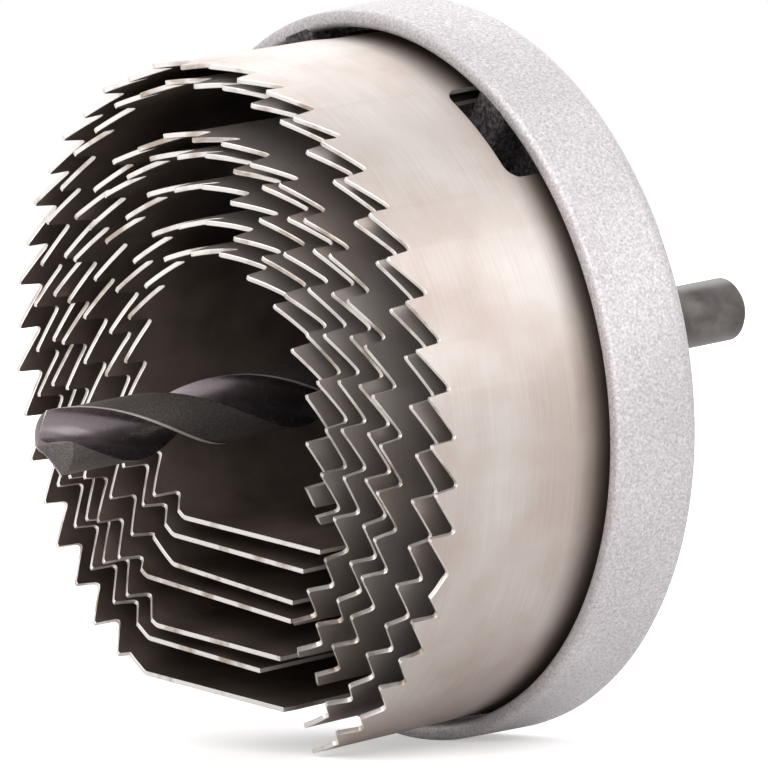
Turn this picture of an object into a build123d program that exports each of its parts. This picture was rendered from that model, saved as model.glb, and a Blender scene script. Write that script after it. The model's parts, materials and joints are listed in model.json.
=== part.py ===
from build123d import *
from math import asin, atan2, cos, degrees, hypot, radians, sin, tan
import os

# A nested hole saw: seven C-shaped spring-steel blades stand in the grooves of one cast
# head, round a pilot twist drill whose plain end is the shank that the chuck grips.
# Every piece is built in the saw's own frame: Z is its axis, with 0 at the back face of
# the head and the teeth at the top. The saw is laid on its side at the end of the file.
# Lengths are in millimetres, angles in degrees.

# ---- head ----
rim_gap = 0.775              # between the largest blade and the rim
rim_draft = 0.4              # how much wider the rim is at the back face
rim_wall = 1.55              # rim thickness at the lip
head_height = 9.5            # back face to front lip
floor_thickness = 3.0        # below the blades
land_height = 6.0            # top of the lands between the grooves
lip_round = 0.6              # rounding of both edges of the lip
back_round = 1.9             # rounding of the rear outer edge
hub_radius = 8.2             # hub inside the smallest blade
boss_radius = 8.5            # boss behind the head, for the set screw
boss_height = 9.0
boss_round = 1.0

# ---- keys that drive the blades, and the notches that pass them ----
key_angles = (49.0, 101.0)
key_width = 4.0
notch_ahead = 1.8            # free length of a notch on the driven side of its key
notch_behind = 5.5           # and on the other side
notch_height = 8.8           # from the rear edge of the blade
notch_round = 1.5

# ---- windows through the floor, to push the cut core out ----
window_angles = (0.0, 75.0, 150.0)
window_inner_radius = 18.5
window_outer_radius = 26.3
window_span = 24.0
window_round = 1.2

# ---- blades ----
blade_width = 25.0           # rear edge to tooth tips
blade_thickness = 0.45
tooth_pitch = 4.235          # six teeth to the inch, on the free ends
tooth_depth = 2.35
tooth_set = 0.2              # how far each tip leans out of the strip, turn about
tooth_tip_flat = 0.3
tooth_face_lean = 0.15       # how far the steep face leans back over its depth
tail_bend_radius = 1.5
groove_clearance = 0.175     # each side of a blade in its groove
groove_end_clearance = 0.4
groove_top = 7.0             # the grooves are cut from a little above the lands

# Nominal size: centre-line radius of the ring, and its centre x and y. The inner rings
# stand a little off the axis, where their blades are sprung against the grooves.
rings = {
    63: (31.05, 0.0, 0.0),
    56: (28.3, 0.35, 1.1),
    50: (24.5, -1.05, 0.15),
    45: (22.75, -0.9, 0.3),
    38: (19.5, -1.0, 0.65),
    32: (16.3, -0.5, 0.6),
    26: (13.8, -0.4, 0.55),
}
# Nominal size: teeth on the ring, and the angles where they start and end and where the
# ring bends into its tail.
toothings = {
    63: (34, -36.3, 228.1, 232.3),
    56: (29, -26.6, 223.1, 231.6),
    50: (25, -27.0, 226.2, 234.6),
    45: (25, -47.7, 219.1, 223.3),
    38: (20, -31.2, 219.8, 230.2),
    32: (16, -21.8, 216.4, 227.1),
    26: (13, -13.6, 217.7, 228.2),
}
# Nominal size: teeth on the free end, the radius to which it springs open, and the plain
# strip before its first tooth.
free_ends = {
    63: (5, 32.6, 3.7),
    56: (6, 33.0, 3.5),
    50: (4, 34.0, 2.2),
    45: (2, 34.0, 2.0),
    38: (3, 34.0, 0.6),
    32: (1, 34.0, 1.0),
    26: (1, 34.0, 2.2),
}
# Nominal size: heading and length of the straight tail, and its depth below the tooth tips.
tails = {
    63: (-7.0, 20.7, 1.2),
    56: (-8.4, 16.6, 0.9),
    50: (-7.7, 18.4, 0.6),
    45: (-9.5, 21.5, 1.6),
    38: (-10.0, 17.6, 2.1),
    32: (-8.7, 19.1, 1.15),
    26: (-7.9, 19.9, 1.2),
}
stepped_blade = 63           # here the last tooth drops to the tail, with no gullet between
worn_blade = 63              # this blade has lost the corner of one tooth
worn_tooth = 6               # counted from its free end
worn_face = (0.9, 0.94)      # where the break leaves the steep face: behind the tip, up
worn_top = (1.6, 1.5)        # where it meets the back of the tooth

# ---- pilot drill ----
drill_radius = 3.0
drill_length = 80.0
drill_reach = 19.7           # point beyond the tooth tips
point_angle = 118.0
flute_length = 45.0
flute_lead = 32.0
flute_radius = 2.1
web_thickness = 1.1
margin_angle = 16.0          # the full-size margin beside each flute
body_relief = 0.14           # the rest of the land is ground this much smaller
shank_chamfer = 0.6
neck_radius = 2.8            # ground under the set screw, so that its burr clears the bore
neck_length = 8.8
neck_gap = 0.3               # between the boss and the gripped part of the shank
drill_clearance = 0.05

# ---- set screw ----
screw_radius = 2.5
screw_clearance = 0.05
screw_sink = 0.5             # below the surface of the boss
screw_angle = 180.0
socket_across_flats = 2.5
socket_depth = 2.4

lip_radius = rings[max(rings)][0] + blade_thickness / 2 + rim_gap + rim_wall
blade_top = floor_thickness + blade_width
tooth_root = blade_top - tooth_depth
drill_point = blade_top + drill_reach
drill_end = drill_point - drill_length
neck_low = -boss_height - neck_gap


def polar(centre, radius, angle):
    """The point at an angle on a circle."""
    return (centre[0] + radius * cos(radians(angle)), centre[1] + radius * sin(radians(angle)))


def arc_strip(centre, radius, start, sweep, low, high, thickness, lean=0.0):
    """A strip bent to an arc, with its top edge leaning outwards by lean."""
    inner = radius - thickness / 2
    outer = radius + thickness / 2
    corners = [(inner, 0, low), (outer, 0, low), (outer + lean, 0, high), (inner + lean, 0, high)]
    section = make_face(Polyline(*corners, close=True))
    return Pos(*centre, 0) * Rot(0, 0, start) * revolve(section, Axis.Z, sweep)


def straight_strip(start, heading, length, low, high, thickness):
    """A flat strip that starts at a point and runs along a heading."""
    strip = Box(length, thickness, high - low, align=(Align.MIN, Align.CENTER, Align.MIN))
    return Pos(*start, low) * Rot(0, 0, heading) * strip


class BladePath:
    """The centre line of a blade, from its free end round the ring to its tail."""

    def __init__(self, size):
        self.radius, *self.centre = rings[size]
        self.ring_teeth, self.open_angle, self.last_angle, self.tail_angle = toothings[size]
        self.free_teeth, self.free_radius, first_plain = free_ends[size]
        self.tail_heading, self.tail_length, tail_drop = tails[size]
        self.tail_top = blade_top - tail_drop
        self.ring_step = (self.last_angle - self.open_angle) / self.ring_teeth
        self.free_step = degrees(tooth_pitch / self.free_radius)
        self.free_centre = polar(self.centre, self.radius - self.free_radius, self.open_angle)
        self.first_tooth = self.open_angle - self.free_teeth * self.free_step
        self.end_sweep = degrees(first_plain / self.free_radius)
        self.bend_centre = polar(self.centre, self.radius - tail_bend_radius, self.tail_angle)
        self.bend_sweep = (self.tail_heading - self.tail_angle - 90.0) % 360.0
        bend_end = self.tail_angle + self.bend_sweep
        self.tail_start = polar(self.bend_centre, tail_bend_radius, bend_end)

    def end_point(self, offset):
        """The tip of the free end, offset outwards from the centre line."""
        angle = self.first_tooth - self.end_sweep
        return polar(self.free_centre, self.free_radius + offset, angle)

    def strips(self, low, toothed_top, end_top, tail_top, thickness, end_gap):
        """The strip as solids that meet face to face, longer at both ends by end_gap."""
        end_sweep = self.end_sweep + degrees(end_gap / self.free_radius)
        free_sweep = self.open_angle - self.first_tooth
        ring_sweep = self.tail_angle - self.open_angle
        end = arc_strip(self.free_centre, self.free_radius, self.first_tooth - end_sweep,
                        end_sweep, low, end_top, thickness)
        free = arc_strip(self.free_centre, self.free_radius, self.first_tooth,
                         free_sweep, low, toothed_top, thickness)
        ring = arc_strip(self.centre, self.radius, self.open_angle,
                         ring_sweep, low, toothed_top, thickness)
        bend = arc_strip(self.bend_centre, tail_bend_radius, self.tail_angle,
                         self.bend_sweep, low, tail_top, thickness)
        tail = straight_strip(self.tail_start, self.tail_heading, self.tail_length + end_gap,
                              low, tail_top, thickness)
        return [end, free, ring, bend, tail]


def cut_from_arc(radius, sweep, outline, lean):
    """A piece of leaning strip, from a little before +X round to sweep, cut to an outline."""
    early = degrees(tooth_face_lean / radius)
    band = arc_strip((0, 0), radius, -early, sweep + early, tooth_root, blade_top, blade_thickness, lean)
    square_on = Plane(origin=(radius - 2 * blade_thickness, 0, tooth_root), x_dir=(0, 1, 0), z_dir=(1, 0, 0))
    return band & extrude(square_on * make_face(Polyline(*outline, close=True)), amount=4 * blade_thickness)


def tooth(radius, step, lean, worn=False):
    """A tooth over one step of an arc, rising from +X towards its steep face."""
    half = radius * tan(radians(step / 2))
    tip = half - tooth_face_lean
    crest = [(tip, tooth_depth), (tip - tooth_tip_flat, tooth_depth)]
    if worn:
        crest = [(tip - worn_face[0], worn_face[1]), (tip - worn_top[0], worn_top[1])]
    outline = [(-half, 0), (half, 0), *crest]
    return Rot(0, 0, step / 2) * cut_from_arc(radius, step / 2, outline, lean)


def tail_step(path, gullet):
    """The strip from the last whole tooth to the bend: a tooth's back, cut off at the tail's height."""
    height = path.tail_top - tooth_root
    sweep = path.tail_angle - path.last_angle
    length = radians(sweep) * path.radius
    run = tooth_pitch if gullet else -tooth_face_lean
    outline = [(0, 0), (2 * length, 0), (2 * length, height), (run * height / tooth_depth, height)]
    return cut_from_arc(path.radius, sweep, outline, 0.0)


def ring_of_teeth(path, worn):
    """Every tooth of a blade, leaning outwards and inwards turn about."""
    sections = [
        (path.free_centre, path.free_radius, path.first_tooth, path.free_step, path.free_teeth, 1),
        (path.centre, path.radius, path.open_angle, path.ring_step, path.ring_teeth, path.free_teeth + 1),
    ]
    teeth = []
    for centre, radius, start, step, count, first in sections:
        shapes = [tooth(radius, step, tooth_set), tooth(radius, step, -tooth_set)]
        for index in range(count):
            number = first + index
            shape = shapes[number % 2]
            if number == worn:
                shape = tooth(radius, step, tooth_set * (-1) ** number, worn=True)
            teeth.append(Pos(*centre, 0) * Rot(0, 0, start + step * index) * shape)
    return teeth


def notches():
    """What each key needs clear in the rear edges of the blades."""
    length = notch_ahead + key_width + notch_behind
    height = floor_thickness + notch_height
    block = Box(lip_radius, length, height, align=(Align.MIN, Align.CENTER, Align.MIN))
    block = fillet(block.edges().filter_by(Axis.X).group_by(Axis.Z)[-1], notch_round)
    block = Pos(0, (notch_ahead - notch_behind) / 2, 0) * block
    return [Rot(0, 0, angle) * block for angle in key_angles]


def saw_blade(size):
    """A toothed strip rolled to a C, with a straight tail and punched notches."""
    path = BladePath(size)
    strips = path.strips(floor_thickness, tooth_root, blade_top, path.tail_top, blade_thickness, 0.0)
    worn = worn_tooth if size == worn_blade else None
    step = Pos(*path.centre, 0) * Rot(0, 0, path.last_angle) * tail_step(path, size != stepped_blade)
    blade = strips[0].fuse(*strips[1:], *ring_of_teeth(path, worn), step)
    return blade.cut(*notches())


def grooves():
    """The grooves that hold the rear edges of the blades."""
    width = blade_thickness + 2 * groove_clearance
    cuts = []
    for size in rings:
        path = BladePath(size)
        cuts += path.strips(floor_thickness, groove_top, groove_top, groove_top, width, groove_end_clearance)
    return cuts


def windows():
    """Openings through the floor, beside the keys."""
    middle = (window_inner_radius + window_outer_radius) / 2
    width = window_outer_radius - window_inner_radius
    cuts = []
    for angle in window_angles:
        start = angle - window_span / 2
        opening = arc_strip((0, 0), middle, start, window_span, -1.0, head_height, width)
        cuts.append(fillet(opening.edges().filter_by(Axis.Z), window_round))
    return cuts


def saw_head():
    """The cast head: rim, floor, lands, keys, hub and rear boss in one piece."""
    pocket_radius = lip_radius - rim_wall
    outline = [
        (0, 0), (lip_radius + rim_draft, 0), (lip_radius, head_height),
        (pocket_radius, head_height), (pocket_radius, land_height),
        (hub_radius, land_height), (hub_radius, head_height), (0, head_height),
    ]
    section = make_face(Polyline(*outline, close=True))
    corners = section.vertices()
    lip_corners = corners.filter_by(lambda v: v.X > pocket_radius - 0.1 and v.Y > head_height - 0.1)
    section = fillet(lip_corners, lip_round)
    back_corner = section.vertices().filter_by(lambda v: v.X > lip_radius and v.Y < 0.1)
    section = fillet(back_corner, back_round)
    head = revolve(Plane.XZ * section, Axis.Z, 360)

    key_length = pocket_radius + rim_wall / 2 - hub_radius / 2
    key_height = head_height - floor_thickness
    key = Box(key_length, key_width, key_height, align=(Align.MIN, Align.CENTER, Align.MIN))
    keys = [Rot(0, 0, angle) * Pos(hub_radius / 2, 0, floor_thickness) * key for angle in key_angles]
    boss = Cylinder(boss_radius, boss_height + 1.0, align=(Align.CENTER, Align.CENTER, Align.MAX))
    boss = Pos(0, 0, 1.0) * fillet(boss.edges().group_by(Axis.Z)[0], boss_round)

    body = head.fuse(boss).cut(*grooves(), *windows())
    bore = Cylinder(drill_radius + drill_clearance, 2 * drill_length)
    upward = (Align.CENTER, Align.CENTER, Align.MIN)
    screw_hole = Cylinder(screw_radius + screw_clearance, lip_radius, align=upward)
    return body.fuse(*keys).cut(bore, screw_place() * screw_hole)


def screw_place():
    """Where the set screw's axis leaves the middle of the drill, square to it."""
    return Pos(0, 0, -boss_height / 2) * Rot(0, 0, screw_angle) * Rot(0, 90, 0)


def drill_section():
    """Two flutes cut into a round, with a margin left at full size beside each."""
    flute_offset = web_thickness / 2 + flute_radius
    reach = (drill_radius**2 + flute_offset**2 - flute_radius**2) / (2 * drill_radius * flute_offset)
    flute_half = degrees(atan2((1 - reach**2) ** 0.5, reach))
    section = make_face(CenterArc((0, 0), drill_radius, 0, 360))
    cuts = []
    half_turn = 180.0
    sweep = half_turn - 2 * flute_half - margin_angle
    flute = Pos(flute_offset, 0) * make_face(CenterArc((0, 0), flute_radius, 0, 360))
    for turn in (0.0, half_turn):
        cuts.append(Rot(0, 0, turn) * flute)
        start = turn + flute_half + margin_angle
        relieved = [
            CenterArc((0, 0), drill_radius - body_relief, start, sweep),
            CenterArc((0, 0), drill_radius + 1.0, start, sweep),
            Line(polar((0, 0), drill_radius - body_relief, start), polar((0, 0), drill_radius + 1.0, start)),
            Line(polar((0, 0), drill_radius - body_relief, start + sweep),
                 polar((0, 0), drill_radius + 1.0, start + sweep)),
        ]
        cuts.append(make_face(Curve() + relieved))
    return section.cut(*cuts)


def pilot_drill():
    """A two-flute twist drill whose plain shank runs through the head."""
    flute_end = drill_point - flute_length
    twist = 360.0 * flute_length / flute_lead
    section = drill_section().face()
    fluted = Solid.extrude_linear_with_rotation(section, (0, 0, 0), (0, 0, flute_length), twist)
    fluted = Pos(0, 0, flute_end) * fluted
    cone_height = drill_radius / tan(radians(point_angle / 2))
    downward = (Align.CENTER, Align.CENTER, Align.MAX)
    cone = Pos(0, 0, drill_point) * Cone(drill_radius, 0, cone_height, align=downward)
    barrel = Cylinder(drill_radius, drill_length, align=downward)
    envelope = cone + Pos(0, 0, drill_point - cone_height) * barrel
    neck_high = neck_low + neck_length
    profile = [
        (0, drill_end), (drill_radius - shank_chamfer, drill_end), (drill_radius, drill_end + shank_chamfer),
        (drill_radius, neck_low), (neck_radius, neck_low), (neck_radius, neck_high),
        (drill_radius, neck_high), (drill_radius, flute_end), (0, flute_end),
    ]
    shank = revolve(Plane.XZ * make_face(Polyline(*profile, close=True)), Axis.Z, 360)
    return (fluted & envelope) + shank


def set_screw():
    """A socket set screw in the rear boss, with its point on the neck of the shank."""
    length = boss_radius - screw_sink - neck_radius
    screw = Cylinder(screw_radius, length, align=(Align.CENTER, Align.CENTER, Align.MIN))
    socket = extrude(RegularPolygon(socket_across_flats / 2, 6, major_radius=False), amount=-socket_depth)
    screw = screw.cut(Pos(0, 0, length) * socket)
    return screw_place() * Pos(0, 0, neck_radius) * screw


def lying_tilt():
    """How far the axis rises when the saw rests on its lip and its largest blade."""
    largest = BladePath(max(rings))
    foot = largest.end_point(blade_thickness / 2)
    lip_centre = (head_height - lip_round, lip_round - lip_radius)
    along = blade_top - lip_centre[0]
    below = foot[1] - lip_centre[1]
    return degrees(atan2(below, along) + asin(lip_round / hypot(along, below)))


def build():
    """Every piece by its name, in the saw's own frame."""
    pieces = {"head_casting": saw_head(), "pilot_drill": pilot_drill(), "drill_set_screw": set_screw()}
    for size in rings:
        pieces[f"saw_blade_{size}mm"] = saw_blade(size)
    return pieces


def lay_down(pieces):
    """Lays the saw on its side, its shank towards +X, over the middle of its footprint."""
    on_side = Plane(origin=(0, 0, 0), x_dir=(0, -1, 0), z_dir=(-1, 0, 0)).location
    turned = {name: Rot(0, -lying_tilt(), 0) * on_side * piece for name, piece in pieces.items()}
    box = Compound(children=[Compound(piece.wrapped) for piece in turned.values()]).bounding_box()
    middle = box.center()
    return {name: Pos(-middle.X, -middle.Y, -box.min.Z) * piece for name, piece in turned.items()}


os.makedirs("parts", exist_ok=True)
for name, piece in lay_down(build()).items():
    export_step(piece, f"parts/{name}.step")
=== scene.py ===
import json
import math

import bmesh
import bpy
from mathutils import Matrix, Vector


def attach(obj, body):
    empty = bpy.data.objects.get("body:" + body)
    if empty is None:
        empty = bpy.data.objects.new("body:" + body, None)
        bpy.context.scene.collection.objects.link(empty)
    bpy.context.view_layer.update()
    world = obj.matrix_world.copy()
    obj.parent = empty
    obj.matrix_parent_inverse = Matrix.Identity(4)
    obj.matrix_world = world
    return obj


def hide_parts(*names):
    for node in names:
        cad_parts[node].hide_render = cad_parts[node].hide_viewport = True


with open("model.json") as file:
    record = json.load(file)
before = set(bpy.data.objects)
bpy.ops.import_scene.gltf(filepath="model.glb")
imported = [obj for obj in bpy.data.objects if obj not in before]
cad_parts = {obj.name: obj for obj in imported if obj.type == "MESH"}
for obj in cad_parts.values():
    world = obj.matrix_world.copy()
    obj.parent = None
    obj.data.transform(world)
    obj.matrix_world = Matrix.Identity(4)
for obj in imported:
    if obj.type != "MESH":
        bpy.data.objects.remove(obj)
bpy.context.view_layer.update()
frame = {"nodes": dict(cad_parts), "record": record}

# ---- how the saw lies ----
# A hole saw lies on its side, on the lip of its head and the free end of its largest blade.
# Every piece is drawn in millimetres about the saw's own axis, Z, with 0 at the back face of
# the head and the teeth upwards, and is laid down with the shank along the mount of that name.
millimetre = 0.001
shank_mount = frame["record"]["mounts"][0]
shank_axis = Vector(shank_mount["axis"])
shank_middle_height = -20.5
rise = math.atan2(shank_axis.z, shank_axis.x)
lay_down = Matrix((
    (0, -math.sin(rise), -math.cos(rise), 0),
    (-1, 0, 0, 0),
    (0, math.cos(rise), -math.sin(rise), 0),
    (0, 0, 0, 1),
))
lay_down.translation = Vector(shank_mount["pos_m"]) + shank_axis * shank_middle_height * millimetre
lay_down_mm = lay_down @ Matrix.Scale(millimetre, 4)
sharp_edge = math.radians(32)


def linear(colour):
    """The linear RGBA of an sRGB hex colour."""
    channels = [int(colour[i:i + 2], 16) / 255 for i in (1, 3, 5)]
    return (*[c / 12.92 if c <= 0.04045 else ((c + 0.055) / 1.055) ** 2.4 for c in channels], 1)


def new_finish(name):
    """A material, with its node tree and its main shader."""
    material = bpy.data.materials.new(name)
    material.use_nodes = True
    return material, material.node_tree, material.node_tree.nodes["Principled BSDF"]


def add_node(tree, kind, links=(), stops=(), **settings):
    """A new node with its settings, its colour stops and its (output, input name) links."""
    node = tree.nodes.new(kind)
    for name, value in settings.items():
        if hasattr(node, name):
            setattr(node, name, value)
        else:
            socket = name.replace("_", " ").title() if name[0].islower() else name
            node.inputs[socket].default_value = value
    for i, (position, colour) in enumerate(stops):
        node.color_ramp.elements[i].position = position
        node.color_ramp.elements[i].color = linear(colour)
    for output, name in links:
        tree.links.new(output, node.inputs[name])
    return node


def finish_piece(name, mesh_data, materials, node):
    """Makes an object of a mesh drawn in the saw's frame, and lets it ride in place of its node."""
    mesh = bpy.data.meshes.new(name)
    bmesh.ops.transform(mesh_data, matrix=lay_down_mm, verts=mesh_data.verts)
    for face in mesh_data.faces:
        face.smooth = True
    for edge in mesh_data.edges:
        edge.smooth = len(edge.link_faces) == 2 and edge.calc_face_angle() < sharp_edge
    mesh_data.to_mesh(mesh)
    mesh_data.free()
    piece = bpy.data.objects.new(name, mesh)
    bpy.context.scene.collection.objects.link(piece)
    for material in materials:
        mesh.materials.append(material)
    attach(piece, "root")
    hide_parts(node)


# ---- saw blades ----
# Seven strips of hardened spring steel, 0.45 mm thick and 25 mm wide. Each is toothed and
# notched flat, has its teeth set by bending them turn about, and is then rolled to a C with
# one straight tail. They are bright outside, and their insides are painted dark brown for the
# shade between the nested blades.
blade_low = 3.0
blade_high = 28.0
half_thickness = 0.225
edge_chamfer = 0.05
tail_bend_radius = 1.5

# Radius of each ring and the place of its centre.
rings = {
    63: (31.05, 0.0, 0.0),
    56: (28.3, 0.35, 1.1),
    50: (24.5, -1.05, 0.15),
    45: (22.75, -0.9, 0.3),
    38: (19.5, -1.0, 0.65),
    32: (16.3, -0.5, 0.6),
    26: (13.8, -0.4, 0.55),
}
# Teeth on the ring, where it opens to the free end, where its last tooth ends, where it bends.
toothings = {
    63: (34, -36.3, 228.1, 232.3),
    56: (29, -26.6, 223.1, 231.6),
    50: (25, -27.0, 226.2, 234.6),
    45: (25, -47.7, 219.1, 223.3),
    38: (20, -31.2, 219.8, 230.2),
    32: (16, -21.8, 216.4, 227.1),
    26: (13, -13.6, 217.7, 228.2),
}
# Teeth on the free end, its radius, and its length before the first of them.
free_ends = {
    63: (5, 32.6, 3.7),
    56: (6, 33.0, 3.5),
    50: (4, 34.0, 2.2),
    45: (2, 34.0, 2.0),
    38: (3, 34.0, 0.6),
    32: (1, 34.0, 1.0),
    26: (1, 34.0, 2.2),
}
# Heading of the tail, its length, and how far it stands below the tips.
tails = {
    63: (-7.0, 20.7, 1.2),
    56: (-8.4, 16.6, 0.9),
    50: (-7.7, 18.4, 0.6),
    45: (-9.5, 21.5, 1.6),
    38: (-10.0, 17.6, 2.1),
    32: (-8.7, 19.1, 1.15),
    26: (-7.9, 19.9, 1.2),
}
bend_facets = 12
tail_facets = 8
ring_facet = 0.7
closest_sections = 0.0015


def polar(centre, radius, angle):
    """The point at an angle, in degrees, on a circle."""
    return Vector((centre[0] + radius * math.cos(math.radians(angle)),
                   centre[1] + radius * math.sin(math.radians(angle))))


def blade_line(size):
    """The arcs and the straight of a blade's centre line, each with its length along it."""
    radius, *centre = rings[size]
    open_angle, tail_angle = toothings[size][1], toothings[size][3]
    free_teeth, free_radius, first_plain = free_ends[size]
    heading, tail_length = tails[size][:2]
    ring_length = math.radians(tail_angle - open_angle) * radius
    free_length = first_plain + free_teeth * tooth_pitch
    free_centre = polar(centre, radius - free_radius, open_angle)
    bend_centre = polar(centre, radius - tail_bend_radius, tail_angle)
    bend_sweep = (heading - tail_angle - 90.0) % 360.0
    return [
        (free_centre, free_radius, open_angle - math.degrees(free_length / free_radius), free_length),
        (centre, radius, open_angle, ring_length),
        (bend_centre, tail_bend_radius, tail_angle, math.radians(bend_sweep) * tail_bend_radius),
        (polar(bend_centre, tail_bend_radius, heading - 90.0), None, heading, tail_length),
    ]


def along(line, distance):
    """The point and the outward direction at a distance along a blade's centre line."""
    for centre, radius, angle, length in line:
        if distance <= length or radius is None:
            break
        distance -= length
    if radius is None:
        return Vector(centre) + distance * polar((0, 0), 1, angle), polar((0, 0), 1, angle - 90)
    turned = angle + math.degrees(distance / radius)
    return polar(centre, radius, turned), polar((0, 0), 1, turned)


# A notch in the rear edge passes each key of the head, and its upper corners are rounded.
key_angles = (49.0, 101.0)
key_width = 4.0
notch_ahead = 1.8
notch_behind = 5.5
notch_top = 11.8
notch_round = 1.5
notch_corner_shares = (0.04, 0.15, 0.35, 0.65, 1.0)
notch_search_step = 0.05
notch_search_halvings = 12


def notch_height(point):
    """How high the lower edge of a blade is at a point, with the notches round the keys."""
    half = (notch_ahead + key_width + notch_behind) / 2
    for angle in key_angles:
        turn = math.radians(angle)
        ahead = point.x * math.cos(turn) + point.y * math.sin(turn)
        side = point.y * math.cos(turn) - point.x * math.sin(turn)
        off = abs(side - (notch_ahead - notch_behind) / 2)
        if ahead > 0 and off < half:
            past = max(0.0, off - half + notch_round)
            return notch_top - notch_round + math.sqrt(notch_round**2 - past**2)
    return blade_low


def notch_stops(line, total):
    """Distances along a blade at the sides of its notches and round their corners."""
    stops = set()
    fine = [notch_search_step * i for i in range(int(total / notch_search_step))]
    lows = [notch_height(along(line, run)[0]) for run in fine]
    for before, after, low_before, low_after in zip(fine, fine[1:], lows, lows[1:]):
        if (low_before == blade_low) != (low_after == blade_low):
            for _ in range(notch_search_halvings):
                middle = (before + after) / 2
                if (notch_height(along(line, middle)[0]) == blade_low) == (low_before == blade_low):
                    before = middle
                else:
                    after = middle
            stops |= {before, after}
            inwards = 1 if low_before == blade_low else -1
            side = (before + after) / 2
            stops |= {side + inwards * notch_round * share for share in notch_corner_shares}
    return stops


# Each tooth rises along its back to a small flat and drops down a steep face to a gullet. The
# teeth lean out and in by the set, which starts a little below the gullets.
tooth_pitch = 4.235
tooth_depth = 2.35
tooth_set = 0.2
face_lean = 0.15
tip_flat = 0.3
set_starts_below = 0.35
gullet = [(0.0, 0.3), (0.12, 0.08), (0.3, 0.0), (0.6, 0.12)]
gullet_edge = gullet[0][1]
plain_ends = (63, 56)
plain_end_height = 0.1
upright_run = 0.003
# The largest blade has one tooth with its corner broken off, and a step before its tail. The
# others have one more gullet there, and the back of a tooth that is cut off at the tail's level.
worn_teeth = {63: 6}
worn_crest = [(1.6, 1.5), (0.9, 0.94)]
stepped_blade = 63
last_gullet_margin = 0.2
past_the_tail = 60.0


def top_profile(size):
    """The upper edge as (distance along, height above the roots, how far it leans out)."""
    radius = rings[size][0]
    ring_teeth, open_angle, last_angle = toothings[size][:3]
    free_teeth, start = free_ends[size][0], free_ends[size][2]
    tail_height = tooth_depth - tails[size][2]
    if size in plain_ends:
        profile = [(-1.0, plain_end_height, 0.0), (start - upright_run, plain_end_height, 0.0)]
    else:
        cut = tooth_depth * max(0.0, 1.0 - start / (tooth_pitch - face_lean))
        profile = [(-1.0, cut, 0.0), (0.0, cut, 0.0), (start - face_lean, tooth_depth, 0.0),
                   (start - upright_run, gullet_edge, 0.0)]
    ring_pitch = math.radians(last_angle - open_angle) * radius / ring_teeth
    pitches = [tooth_pitch] * free_teeth + [ring_pitch] * ring_teeth
    for number, pitch in enumerate(pitches, 1):
        tip = pitch - face_lean
        crest = [(tip - tip_flat, tooth_depth), (tip, tooth_depth), (pitch, gullet_edge)]
        if number == worn_teeth.get(size):
            crest = [(tip - before, height) for before, height in worn_crest] + [(pitch, gullet_edge)]
        if number == len(pitches) and size == stepped_blade:
            crest[-1] = (pitch - face_lean * tail_height / tooth_depth, tail_height)
        lean = tooth_set * (-1) ** number / tooth_depth
        profile += [(start + run, height, lean * height) for run, height in gullet + crest]
        start += pitch
    if size != stepped_blade:
        back_run = tooth_pitch * tail_height / tooth_depth
        profile += [(start + run, height, 0.0) for run, height in gullet
                    if run < back_run - last_gullet_margin and height < tail_height]
        profile.append((start + back_run, tail_height, 0.0))
    profile.append((start + past_the_tail, tail_height, 0.0))
    return profile


def blend_profile(profile, distance):
    """Height and lean at a distance along the upper edge."""
    for (a, height_a, lean_a), (b, height_b, lean_b) in zip(profile, profile[1:]):
        if a <= distance <= b and b > a:
            share = (distance - a) / (b - a)
            return height_a + share * (height_b - height_a), lean_a + share * (lean_b - lean_a)
    return tooth_depth, 0.0


def blade_mesh(size):
    """The blade as a strip of ten-cornered sections, with a small chamfer on every edge."""
    line = blade_line(size)
    total = sum(part[3] for part in line)
    tail_length = line[3][3]
    tail_start = total - tail_length
    bend_start = tail_start - line[2][3]
    profile = top_profile(size)
    stops = {0.0, edge_chamfer, total - edge_chamfer, total}
    stops |= {run for run, height, lean in profile if edge_chamfer < run < total}
    stops |= {ring_facet * i for i in range(1, int(bend_start / ring_facet))}
    stops |= {bend_start + (tail_start - bend_start) * i / bend_facets for i in range(bend_facets + 1)}
    stops |= {tail_start + tail_length * i / tail_facets for i in range(tail_facets)}
    stops |= notch_stops(line, total)
    mesh = bmesh.new()
    uv = mesh.loops.layers.uv.new("along_and_up")
    sections = []
    for run in sorted(stops):
        if sections and run - sections[-1][0] < closest_sections:
            continue
        point, outward = along(line, run)
        low = notch_height(point)
        height, lean = blend_profile(profile, run)
        high = blade_high - tooth_depth + height
        inset = edge_chamfer if run in (0.0, total) else 0.0
        wide = half_thickness - inset
        narrow = half_thickness - edge_chamfer
        middle = blade_high - tooth_depth - set_starts_below
        corners = [
            (-wide, low + edge_chamfer), (-narrow, low + inset),
            (narrow, low + inset), (wide, low + edge_chamfer), (wide, middle),
            (wide + lean, high - edge_chamfer), (narrow + lean, high - inset),
            (-narrow + lean, high - inset), (-wide + lean, high - edge_chamfer), (-wide, middle),
        ]
        verts = [mesh.verts.new((*(point + outward * out), up)) for out, up in corners]
        sections.append((run, verts))
    outside, inside, sheared = 0, 1, 2
    finish_of = {3: outside, 4: outside, 8: inside, 9: inside}
    for (run_a, a), (run_b, b) in zip(sections, sections[1:]):
        for i in range(len(a)):
            j = (i + 1) % len(a)
            face = mesh.faces.new((a[i], a[j], b[j], b[i]))
            face.material_index = finish_of.get(i, sheared)
            for loop, run in zip(face.loops, (run_a, run_a, run_b, run_b)):
                loop[uv].uv = (run, loop.vert.co.z)
    for verts in (sections[0][1], sections[-1][1]):
        mesh.faces.new(verts).material_index = sheared
    bmesh.ops.recalc_face_normals(mesh, faces=mesh.faces)
    return mesh


# Patterns on Object coordinates count in metres, so marks to the millimetre go times this. The
# blades' map is in millimetres along and up the strip, so its marks need no factor.
per_mm = 1000.0
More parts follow.
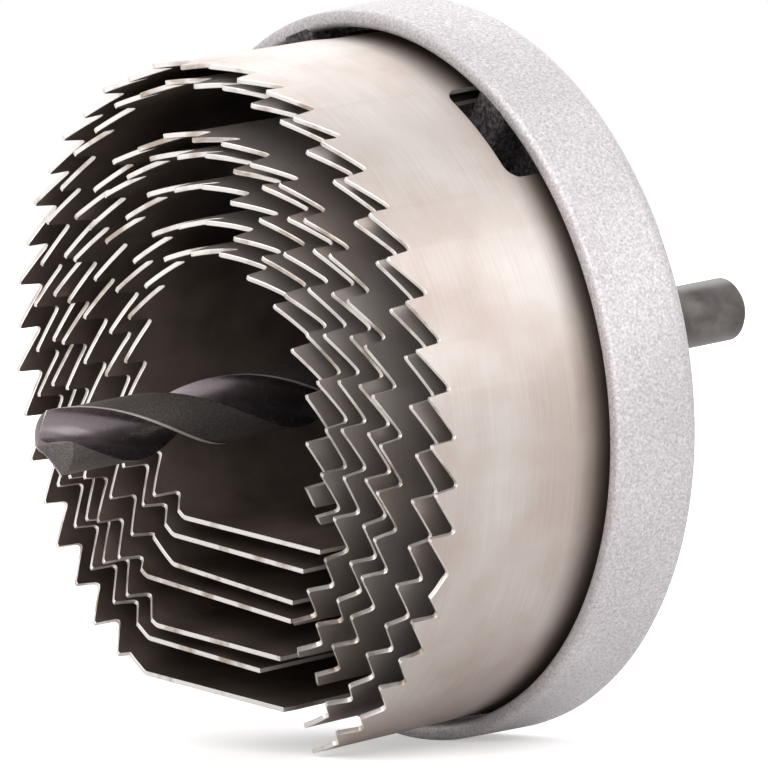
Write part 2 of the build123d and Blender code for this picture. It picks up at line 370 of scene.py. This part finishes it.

# Rolled spring steel, bright and brushed along the strip: it gives soft long highlights that
# vary in clouds about 10 mm wide, and it is darkened brown low down, where it stands in the
# head, as painted shade. Its brush lines are drawn 0.09 mm apart, coarser than the real ones,
# so that they show.
blade_steel, tree, shader = new_finish("brushed_spring_steel")
uv_map = add_node(tree, "ShaderNodeUVMap", uv_map="along_and_up")
place = add_node(tree, "ShaderNodeTexCoord")
stretch = add_node(tree, "ShaderNodeMapping", [(uv_map.outputs["UV"], "Vector")], Scale=(0.1, 11.0, 1.0))
grain = add_node(tree, "ShaderNodeTexNoise", [(stretch.outputs["Vector"], "Vector")],
                 Scale=1.0, Detail=5.0)
cloud = add_node(tree, "ShaderNodeTexNoise", [(place.outputs["Object"], "Vector")],
                 Scale=0.095 * per_mm, Detail=5.0)
tone = add_node(tree, "ShaderNodeValToRGB", [(cloud.outputs["Fac"], "Fac")],
                stops=[(0.36, "#CCBFB9"), (0.62, "#DBD5D1")])
streak = add_node(tree, "ShaderNodeMixRGB",
                  [(grain.outputs["Fac"], "Fac"), (tone.outputs["Color"], "Color1")],
                  blend_type="MULTIPLY", Color2=linear("#DDD8D4"))
up_blade = add_node(tree, "ShaderNodeSeparateXYZ", [(uv_map.outputs["UV"], "Vector")])
# Painted shade: the strip is darkened brown up to 8.5 mm and fades out by 12.5 mm, where it stands in the
# head.
rim_shade = add_node(tree, "ShaderNodeMapRange", [(up_blade.outputs["Y"], "Value")],
                 from_min=8.5, from_max=12.5, to_min=1.0, to_max=0.0)
shaded = add_node(tree, "ShaderNodeMixRGB",
                  [(rim_shade.outputs["Result"], "Fac"), (streak.outputs["Color"], "Color1")],
                  blend_type="MULTIPLY", Color2=linear("#8F857D"))
gloss = add_node(tree, "ShaderNodeMapRange", [(cloud.outputs["Fac"], "Value")], to_min=0.56, to_max=0.42)
relief = add_node(tree, "ShaderNodeBump", [(grain.outputs["Fac"], "Height")],
                  Strength=0.1, Distance=0.01 * millimetre)
tree.links.new(shaded.outputs["Color"], shader.inputs["Base Color"])
tree.links.new(gloss.outputs["Result"], shader.inputs["Roughness"])
tree.links.new(relief.outputs["Normal"], shader.inputs["Normal"])
shader.inputs["Metallic"].default_value = 0.9

# The same steel on the insides of the blades, painted dark brown for the shade between the
# nested blades, with smooth streaks along the strip 0.14 mm apart and patches about 8 mm wide.
# Painted shade: the insides of the blades are darkened brown.
blade_inside, tree, shader = new_finish("shaded_steel_inside")
uv_map = add_node(tree, "ShaderNodeUVMap", uv_map="along_and_up")
place = add_node(tree, "ShaderNodeTexCoord")
stretch = add_node(tree, "ShaderNodeMapping", [(uv_map.outputs["UV"], "Vector")], Scale=(0.12, 7.0, 1.0))
grain = add_node(tree, "ShaderNodeTexNoise", [(stretch.outputs["Vector"], "Vector")],
                 Scale=1.0, Detail=4.0)
cloud = add_node(tree, "ShaderNodeTexNoise", [(place.outputs["Object"], "Vector")],
                 Scale=0.12 * per_mm, Detail=4.0)
tone = add_node(tree, "ShaderNodeValToRGB", [(cloud.outputs["Fac"], "Fac")],
                stops=[(0.35, "#5E514B"), (0.7, "#8A7B72")])
gloss = add_node(tree, "ShaderNodeMapRange", [(grain.outputs["Fac"], "Value")], to_min=0.3, to_max=0.5)
tree.links.new(tone.outputs["Color"], shader.inputs["Base Color"])
tree.links.new(gloss.outputs["Result"], shader.inputs["Roughness"])
shader.inputs["Metallic"].default_value = 0.75

# The same steel where it was sheared and deburred: it is bare and bright, so the teeth and the
# tails are outlined in light, with duller spots about 3 mm apart.
blade_edge, tree, shader = new_finish("sheared_steel_edge")
place = add_node(tree, "ShaderNodeTexCoord")
spots = add_node(tree, "ShaderNodeTexNoise", [(place.outputs["Object"], "Vector")],
                 Scale=0.3 * per_mm, Detail=5.0)
tone = add_node(tree, "ShaderNodeValToRGB", [(spots.outputs["Fac"], "Fac")],
                stops=[(0.33, "#B0A397"), (0.48, "#ECE6E1")])
tree.links.new(tone.outputs["Color"], shader.inputs["Base Color"])
shader.inputs["Metallic"].default_value = 0.8
shader.inputs["Roughness"].default_value = 0.38

for size in rings:
    finish_piece(f"blade_{size}mm", blade_mesh(size), [blade_steel, blade_inside, blade_edge],
                 f"saw_blade_{size}mm")

# ---- head ----
# One die-casting in aluminium alloy, with a rough grained skin: a rim, a floor with a groove
# for each blade, two keys that drive the blades, a hub, windows for pushing out the core, and
# a boss behind that holds the drill.
lip_radius = 33.6
pocket_radius = 32.05
rim_back_radius = 34.0
head_height = 9.5
land_height = 6.0
hub_radius = 8.2
boss_radius = 8.5
boss_height = 9.0
bore_radius = 3.05
back_round = 1.9
lip_round = 0.6
boss_round = 1.0
boss_root_round = 0.8
floor_round = 0.5
bore_round = 0.3
head_facets = 256
corner_facets = 6


def rounded(points):
    """A closed outline of (x, y, radius) corners as points, each corner turned by its radius."""
    outline = []
    for i, (x, y, radius) in enumerate(points):
        here = Vector((x, y))
        back = (Vector(points[i - 1][:2]) - here).normalized()
        ahead = (Vector(points[(i + 1) % len(points)][:2]) - here).normalized()
        if radius == 0:
            outline.append(here)
            continue
        half = back.angle(ahead) / 2
        centre = here + (back + ahead).normalized() * radius / math.sin(half)
        first = here + back * radius / math.tan(half) - centre
        last = here + ahead * radius / math.tan(half) - centre
        for k in range(corner_facets + 1):
            outline.append(centre + first.slerp(last, k / corner_facets).normalized() * radius)
    return outline


def spun(outline, facets):
    """A bmesh of a closed (radius, height) outline turned once round the axis."""
    mesh = bmesh.new()
    verts = [mesh.verts.new((radius, 0, height)) for radius, height in outline]
    edges = [mesh.edges.new((verts[i - 1], verts[i])) for i in range(len(verts))]
    bmesh.ops.spin(mesh, geom=verts + edges, cent=(0, 0, 0), axis=(0, 0, 1), angle=math.tau,
                   steps=facets, use_merge=True)
    return mesh


def as_object(mesh, name):
    """A bmesh as an object, with its normals outwards."""
    data = bpy.data.meshes.new(name)
    bmesh.ops.recalc_face_normals(mesh, faces=mesh.faces)
    mesh.to_mesh(data)
    mesh.free()
    made = bpy.data.objects.new(name, data)
    bpy.context.scene.collection.objects.link(made)
    return made


outline = rounded([
    (bore_radius, -boss_height, 0), (boss_radius, -boss_height, boss_round),
    (boss_radius, 0, boss_root_round), (rim_back_radius, 0, back_round),
    (lip_radius, head_height, lip_round), (pocket_radius, head_height, lip_round),
    (pocket_radius, land_height, floor_round), (hub_radius, land_height, floor_round),
    (hub_radius, head_height, floor_round), (bore_radius, head_height, bore_round),
])
head = as_object(spun(outline, head_facets), "head")
cutters = []

# The grooves follow the blades' centre lines and run on a little past both ends.
groove_half_width = 0.4
groove_floor = 3.0
groove_mouth = 7.0
groove_past_end = 0.4
groove_facet = 0.9
for size in rings:
    line = blade_line(size)
    total = sum(part[3] for part in line)
    mesh = bmesh.new()
    stops = [-groove_past_end] + [groove_facet * i for i in range(int(total / groove_facet))]
    stops += [total + groove_past_end]
    sections = []
    for run in stops:
        point, outward = along(line, run)
        corners = [(-groove_half_width, groove_floor), (groove_half_width, groove_floor),
                   (groove_half_width, groove_mouth), (-groove_half_width, groove_mouth)]
        sections.append([mesh.verts.new((*(point + outward * out), up)) for out, up in corners])
    for a, b in zip(sections, sections[1:]):
        for i in range(len(a)):
            mesh.faces.new((a[i], a[i - 3], b[i - 3], b[i]))
    mesh.faces.new(sections[0])
    mesh.faces.new(sections[-1])
    cutters.append(("DIFFERENCE", as_object(mesh, "groove_cutter")))

# The windows go through the floor beside the keys, and have rounded corners.
window_angles = (0.0, 75.0, 150.0)
window_inner_radius = 18.5
window_outer_radius = 26.3
window_span = 24.0
window_round = 1.2
window_facets = 16
window_round_facets = 5
window_cut_low = -1.0
window_cut_height = 9.0
for angle in window_angles:
    mesh = bmesh.new()
    sweep = [angle - window_span / 2 + window_span * i / window_facets for i in range(window_facets + 1)]
    corners = [polar((0, 0), window_inner_radius, a) for a in sweep]
    corners += [polar((0, 0), window_outer_radius, a) for a in reversed(sweep)]
    base = mesh.faces.new([mesh.verts.new((*corner, window_cut_low)) for corner in corners])
    bmesh.ops.recalc_face_normals(mesh, faces=mesh.faces)
    raised = bmesh.ops.extrude_face_region(mesh, geom=[base])["geom"]
    bmesh.ops.translate(mesh, vec=(0, 0, window_cut_height),
                        verts=[v for v in raised if isinstance(v, bmesh.types.BMVert)])
    upright = [e for e in mesh.edges if abs(e.verts[0].co.z - e.verts[1].co.z) > 1
               and len(e.link_faces) == 2 and e.calc_face_angle() > 1]
    bmesh.ops.bevel(mesh, geom=upright, offset=window_round, offset_type="OFFSET",
                    segments=window_round_facets, profile=0.5, affect="EDGES", material=-1)
    cutters.append(("DIFFERENCE", as_object(mesh, "window_cutter")))

# The keys run from inside the hub to inside the rim, a hair below their tops.
key_inner_end = 5.0
key_outer_end = 32.8
key_low = 2.0
key_high = head_height - 0.02
key_round = 0.35
for angle in key_angles:
    mesh = bmesh.new()
    inner_corner = Vector((key_inner_end, -key_width / 2, key_low))
    outer_corner = Vector((key_outer_end, key_width / 2, key_high))
    middle = Matrix.Translation((inner_corner + outer_corner) / 2)
    sides = Matrix.Diagonal((*(outer_corner - inner_corner), 1))
    bmesh.ops.create_cube(mesh, size=1.0, matrix=middle @ sides)
    bmesh.ops.bevel(mesh, geom=mesh.edges[:], offset=key_round, offset_type="OFFSET", segments=3,
                    profile=0.5, affect="EDGES", material=-1)
    bmesh.ops.rotate(mesh, matrix=Matrix.Rotation(math.radians(angle), 3, "Z"), verts=mesh.verts)
    cutters.append(("UNION", as_object(mesh, "key")))

# The set screw's hole goes through one side of the boss, half-way along it.
screw_hole_radius = 2.55
screw_hole_length = 12.0
screw_hole_middle = Matrix.Translation((-8.0, 0, -boss_height / 2))
mesh = bmesh.new()
bmesh.ops.create_cone(mesh, cap_ends=True, segments=48, radius1=screw_hole_radius,
                      radius2=screw_hole_radius, depth=screw_hole_length,
                      matrix=screw_hole_middle @ Matrix.Rotation(math.pi / 2, 4, "Y"))
cutters.append(("DIFFERENCE", as_object(mesh, "screw_cutter")))

for operation, cutter in cutters:
    boolean = head.modifiers.new(cutter.name, "BOOLEAN")
    boolean.operation = operation
    boolean.solver = "EXACT"
    boolean.object = cutter
evaluated = head.evaluated_get(bpy.context.evaluated_depsgraph_get())
mesh = bmesh.new()
mesh.from_mesh(evaluated.to_mesh())
for operation, cutter in cutters:
    bpy.data.objects.remove(cutter)
bpy.data.objects.remove(head)

# Die-cast aluminium, shot-blasted: a pale matt skin that sparkles finely. The real grain is too fine
# to show, so it is drawn 0.24 mm wide with crystals of 0.26 mm, in patches of about 11 mm.
cast_metal, tree, shader = new_finish("die_cast_aluminium")
place = add_node(tree, "ShaderNodeTexCoord")
fine = add_node(tree, "ShaderNodeTexNoise", [(place.outputs["Object"], "Vector")],
                Scale=4.2 * per_mm, Detail=5.0)
coarse = add_node(tree, "ShaderNodeTexNoise", [(place.outputs["Object"], "Vector")],
                  Scale=0.09 * per_mm, Detail=4.0)
crystals = add_node(tree, "ShaderNodeTexVoronoi", [(place.outputs["Object"], "Vector")],
                    Scale=3.8 * per_mm)
tone = add_node(tree, "ShaderNodeValToRGB", [(fine.outputs["Fac"], "Fac")],
                stops=[(0.3, "#BBB6B8"), (0.7, "#ECE9EA")])
patch = add_node(tree, "ShaderNodeMixRGB",
                 [(coarse.outputs["Fac"], "Fac"), (tone.outputs["Color"], "Color1")],
                 blend_type="MULTIPLY", Color2=linear("#DDD9DB"))
sparkle = add_node(tree, "ShaderNodeMapRange", [(crystals.outputs["Color"], "Value")],
                   to_min=0.35, to_max=0.7)
relief = add_node(tree, "ShaderNodeBump", [(fine.outputs["Fac"], "Height")],
                  Strength=0.6, Distance=0.09 * millimetre)
tree.links.new(patch.outputs["Color"], shader.inputs["Base Color"])
tree.links.new(sparkle.outputs["Result"], shader.inputs["Roughness"])
tree.links.new(relief.outputs["Normal"], shader.inputs["Normal"])
shader.inputs["Metallic"].default_value = 0.55

# The same casting inside the head, painted nearly black for the shade among the blades: it is
# dull, with a grain drawn 0.4 mm wide.
casting_in_shade, tree, shader = new_finish("painted_shade_casting")
place = add_node(tree, "ShaderNodeTexCoord")
fine = add_node(tree, "ShaderNodeTexNoise", [(place.outputs["Object"], "Vector")],
                Scale=2.6 * per_mm, Detail=4.0)
tone = add_node(tree, "ShaderNodeValToRGB", [(fine.outputs["Fac"], "Fac")],
                stops=[(0.4, "#2B2527"), (0.72, "#6A6466")])
relief = add_node(tree, "ShaderNodeBump", [(fine.outputs["Fac"], "Height")],
                  Strength=0.5, Distance=0.1 * millimetre)
tree.links.new(tone.outputs["Color"], shader.inputs["Base Color"])
tree.links.new(relief.outputs["Normal"], shader.inputs["Normal"])
shader.inputs["Metallic"].default_value = 0.5
shader.inputs["Roughness"].default_value = 0.6

# Painted shade: faces inside the head's pocket and above 2.5 mm take the dark casting.
shade_low = 2.5
shade_radius = pocket_radius - 0.2
for face in mesh.faces:
    middle = face.calc_center_median()
    if middle.z > shade_low and math.hypot(middle.x, middle.y) < shade_radius:
        face.material_index = 1
finish_piece("cast_head", mesh, [cast_metal, casting_in_shade], "head_casting")

# ---- pilot drill ----
# A 6 mm twist drill in high-speed steel with a black oxide finish, ground with two spiral
# flutes and a 118 degree point. Its plain end runs through the boss as the shank, with a
# ground neck under the set screw.
drill_radius = 3.0
drill_point = 47.7
drill_end = -32.3
flute_end = 2.7
flute_lead = 36.0
flute_radius = 2.3
flute_offset = 2.85
flute_turn = -22.0
flute_facets = 20
margin_angle = 5.0
margin_facets = 5
relieved_radius = 2.9
land_gap_angle = 2.0
land_facets = 12
neck_radius = 2.8
neck_low = -9.3
neck_high = -0.5
shank_chamfer = 0.6
chamfer_blend = (0.04, 0.06)
neck_chamfer = 0.05
core_radius = 0.001
shank_facets = 72
point_half_angle = 59.0
point_flat = 0.02
flute_rows = 150
point_rows = 14
flute_face, margin_face, land_face, shank_face = 0, 1, 2, 3

spun_shank = [
    (core_radius, drill_end), (drill_radius - shank_chamfer, drill_end),
    (drill_radius - chamfer_blend[0], drill_end + shank_chamfer - chamfer_blend[0]),
    (drill_radius, drill_end + shank_chamfer + chamfer_blend[1]),
    (drill_radius, neck_low - neck_chamfer), (drill_radius - neck_chamfer, neck_low),
    (neck_radius, neck_low), (neck_radius, neck_high), (drill_radius, neck_high),
    (drill_radius, flute_end), (core_radius, flute_end),
]
mesh = spun(spun_shank, shank_facets)
for face in mesh.faces:
    face.material_index = shank_face


def flute_meets(radius):
    """The angle round a flute's centre, in degrees, where it meets a circle about the axis."""
    return math.degrees(math.acos((radius**2 - flute_offset**2 - flute_radius**2)
                                  / (2 * flute_offset * flute_radius)))


# Half of the section across the flutes: the hollow of one flute, its margin and its land.
flute_edge = math.degrees(math.acos((drill_radius**2 + flute_offset**2 - flute_radius**2)
                                    / (2 * drill_radius * flute_offset)))
entry = flute_meets(drill_radius)
leave = flute_meets(relieved_radius)
half_section = []
for i in range(flute_facets + 1):
    angle = 360 - leave - (360 - leave - entry) * i / flute_facets
    half_section.append((polar((flute_offset, 0), flute_radius, angle), flute_face))
for i in range(1, margin_facets + 1):
    angle = flute_edge + margin_angle * i / margin_facets
    half_section.append((polar((0, 0), drill_radius, angle), margin_face))
land_start = flute_edge + margin_angle
land_span = 180 - flute_edge - land_start - land_gap_angle
for i in range(land_facets + 1):
    angle = land_start + land_span * i / land_facets
    half_section.append((polar((0, 0), relieved_radius, angle), land_face))
section = half_section + [(-point, kind) for point, kind in half_section]

point_slope = math.tan(math.radians(point_half_angle))
cone_height = drill_radius / point_slope
cone_start = drill_point - cone_height
heights = [flute_end + (cone_start - flute_end) * i / flute_rows for i in range(flute_rows + 1)]
heights += [drill_point - cone_height * (1 - i / point_rows) for i in range(1, point_rows)]
heights.append(drill_point - point_flat)
rows = []
for height in heights:
    turn = Matrix.Rotation(math.radians(flute_turn + 360 * (height - flute_end) / flute_lead), 2)
    limit = min(drill_radius, (drill_point - height) * point_slope)
    row = []
    for point, kind in section:
        turned = turn @ point
        if turned.length > limit:
            turned = turned.normalized() * limit
        row.append(mesh.verts.new((turned.x, turned.y, height)))
    rows.append(row)
for a, b in zip(rows, rows[1:]):
    for i in range(len(section)):
        face = mesh.faces.new((a[i - 1], a[i], b[i], b[i - 1]))
        face.material_index = section[i][1]
mesh.faces.new(rows[0])
mesh.faces.new(rows[-1])
bmesh.ops.recalc_face_normals(mesh, faces=mesh.faces)

# Black oxide on ground steel: it looks dark grey and satin, clouded about every 2.5 mm.
black_oxide, tree, shader = new_finish("black_oxide_steel")
place = add_node(tree, "ShaderNodeTexCoord")
cloud = add_node(tree, "ShaderNodeTexNoise", [(place.outputs["Object"], "Vector")],
                 Scale=0.4 * per_mm, Detail=6.0)
tone = add_node(tree, "ShaderNodeValToRGB", [(cloud.outputs["Fac"], "Fac")],
                stops=[(0.35, "#4A4544"), (0.75, "#7A7371")])
gloss = add_node(tree, "ShaderNodeMapRange", [(cloud.outputs["Fac"], "Value")], to_min=0.25, to_max=0.5)
relief = add_node(tree, "ShaderNodeBump", [(cloud.outputs["Fac"], "Height")],
                  Strength=0.15, Distance=0.05 * millimetre)
tree.links.new(tone.outputs["Color"], shader.inputs["Base Color"])
tree.links.new(gloss.outputs["Result"], shader.inputs["Roughness"])
tree.links.new(relief.outputs["Normal"], shader.inputs["Normal"])
shader.inputs["Metallic"].default_value = 0.75

# Flutes polished under the oxide: they carry long clear highlights, broken every 1.1 mm by
# the marks of the grinding wheel.
flute_steel, tree, shader = new_finish("polished_dark_flute")
place = add_node(tree, "ShaderNodeTexCoord")
marks = add_node(tree, "ShaderNodeTexNoise", [(place.outputs["Object"], "Vector")],
                 Scale=0.9 * per_mm, Detail=3.0)
gloss = add_node(tree, "ShaderNodeMapRange", [(marks.outputs["Fac"], "Value")], to_min=0.16, to_max=0.34)
tree.links.new(gloss.outputs["Result"], shader.inputs["Roughness"])
shader.inputs["Base Color"].default_value = linear("#83797D")
shader.inputs["Metallic"].default_value = 0.95

# The margins rub in the hole, so their oxide has worn to bare steel and shows as a pale line.
worn_oxide, tree, shader = new_finish("worn_oxide_margin")
shader.inputs["Base Color"].default_value = linear("#DDD5CE")
shader.inputs["Metallic"].default_value = 0.85
shader.inputs["Roughness"].default_value = 0.36

# The lands keep the oxide over an unpolished surface: they are a duller, even grey, with
# a grain drawn 0.2 mm wide.
land_steel, tree, shader = new_finish("grained_oxide_land")
place = add_node(tree, "ShaderNodeTexCoord")
cloud = add_node(tree, "ShaderNodeTexNoise", [(place.outputs["Object"], "Vector")],
                 Scale=5.2 * per_mm, Detail=4.0)
tone = add_node(tree, "ShaderNodeValToRGB", [(cloud.outputs["Fac"], "Fac")],
                stops=[(0.35, "#5A5452"), (0.7, "#77706D")])
relief = add_node(tree, "ShaderNodeBump", [(cloud.outputs["Fac"], "Height")],
                  Strength=0.15, Distance=0.03 * millimetre)
tree.links.new(tone.outputs["Color"], shader.inputs["Base Color"])
tree.links.new(relief.outputs["Normal"], shader.inputs["Normal"])
shader.inputs["Metallic"].default_value = 0.8
shader.inputs["Roughness"].default_value = 0.36
finish_piece("twist_drill", mesh, [flute_steel, worn_oxide, land_steel, black_oxide], "pilot_drill")

# ---- set screw ----
# A black hexagon-socket set screw, screwed into the side of the boss until its point presses
# on the neck of the shank. It carries over from the solid model.
frame["nodes"]["drill_set_screw"].data.materials.clear()
frame["nodes"]["drill_set_screw"].data.materials.append(black_oxide)

# ---- floor, light and camera ----
# A pale sheet of paper under four large soft lamps in a bright studio. It shows white to the
# camera far out and keeps the saw's shadow close by. The camera looks at the teeth through
# a long lens that is set from the saw's own axis, so it keeps its view of the saw.
floor_half_size = 6.0
shadow_keeps_to = 0.08
white_starts_at = 0.4
near_glow = 0.4
mesh = bmesh.new()
bmesh.ops.create_grid(mesh, x_segments=1, y_segments=1, size=floor_half_size)
floor = as_object(mesh, "floor")

# Uncoated white paper: flat and matt. It glows only to the camera, so it lights nothing.
paper, tree, shader = new_finish("white_paper_sweep")
shader.inputs["Base Color"].default_value = linear("#F2F2F2")
shader.inputs["Roughness"].default_value = 0.9
rays = add_node(tree, "ShaderNodeLightPath")
place = add_node(tree, "ShaderNodeTexCoord")
away = add_node(tree, "ShaderNodeVectorMath", [(place.outputs["Object"], 0)], operation="LENGTH")
fade = add_node(tree, "ShaderNodeMapRange", [(away.outputs["Value"], "Value")],
                from_min=shadow_keeps_to, from_max=white_starts_at, to_min=near_glow, to_max=1.0)
lift = add_node(tree, "ShaderNodeMath", [(rays.outputs["Is Camera Ray"], 0), (fade.outputs["Result"], 1)],
                operation="MULTIPLY")
shader.inputs["Emission Color"].default_value = linear("#FFFFFF")
tree.links.new(lift.outputs["Value"], shader.inputs["Emission Strength"])
floor.data.materials.append(paper)

# The studio shows plain white to the camera and in polished metal, and lights less than that.
studio_light = 0.62
world = bpy.data.worlds.new("studio")
bpy.context.scene.world = world
world.use_nodes = True
tree = world.node_tree
rays = add_node(tree, "ShaderNodeLightPath")
seen = add_node(tree, "ShaderNodeMath",
                [(rays.outputs["Is Camera Ray"], 0), (rays.outputs["Is Glossy Ray"], 1)],
                operation="MAXIMUM")
seen = add_node(tree, "ShaderNodeMath",
                [(seen.outputs["Value"], 0), (rays.outputs["Is Transmission Ray"], 1)],
                operation="MAXIMUM")
level = add_node(tree, "ShaderNodeMapRange", [(seen.outputs["Value"], "Value")],
                 to_min=studio_light, to_max=1.0)
tree.links.new(level.outputs["Result"], tree.nodes["Background"].inputs["Strength"])
tree.nodes["Background"].inputs["Color"].default_value = linear("#FFFFFF")

lamps_aim_at = Vector((0, 0, 0.03))
for name, place, size, power in (
    ("key_light", (-1.1, -0.8, 1.4), 1.8, 15.0),
    ("fill_light", (0.8, -1.5, 0.9), 1.5, 8.0),
    ("back_light", (0.9, 1.2, 1.3), 1.5, 8.0),
    ("front_light", (-0.9, -1.2, 0.35), 0.8, 7.0),
):
    lamp = bpy.data.lights.new(name, "AREA")
    lamp.size = size
    lamp.energy = power
    lamp_object = bpy.data.objects.new(name, lamp)
    lamp_object.location = place
    lamp_object.rotation_mode = "QUATERNION"
    lamp_object.rotation_quaternion = (lamps_aim_at - Vector(place)).to_track_quat("-Z", "Y")
    bpy.context.scene.collection.objects.link(lamp_object)

camera_place = Vector((0.4803, 0.0571, 0.3679))
camera_right = Vector((0.60321, -0.12669, -0.78746))
camera_back = Vector((0.79758, 0.09582, 0.59555))
camera = bpy.data.objects.new("camera", bpy.data.cameras.new("camera"))
camera.data.sensor_width = 36.0
camera.data.lens = 310.3
camera.data.clip_end = 20.0
turn = lay_down.to_3x3()
facing = Matrix((turn @ camera_right, turn @ camera_back.cross(camera_right), turn @ camera_back))
camera.rotation_mode = "QUATERNION"
camera.rotation_quaternion = facing.transposed().to_quaternion()
camera.location = lay_down @ camera_place
bpy.context.scene.collection.objects.link(camera)
bpy.context.scene.camera = camera
bpy.context.scene.view_settings.view_transform = "Standard"
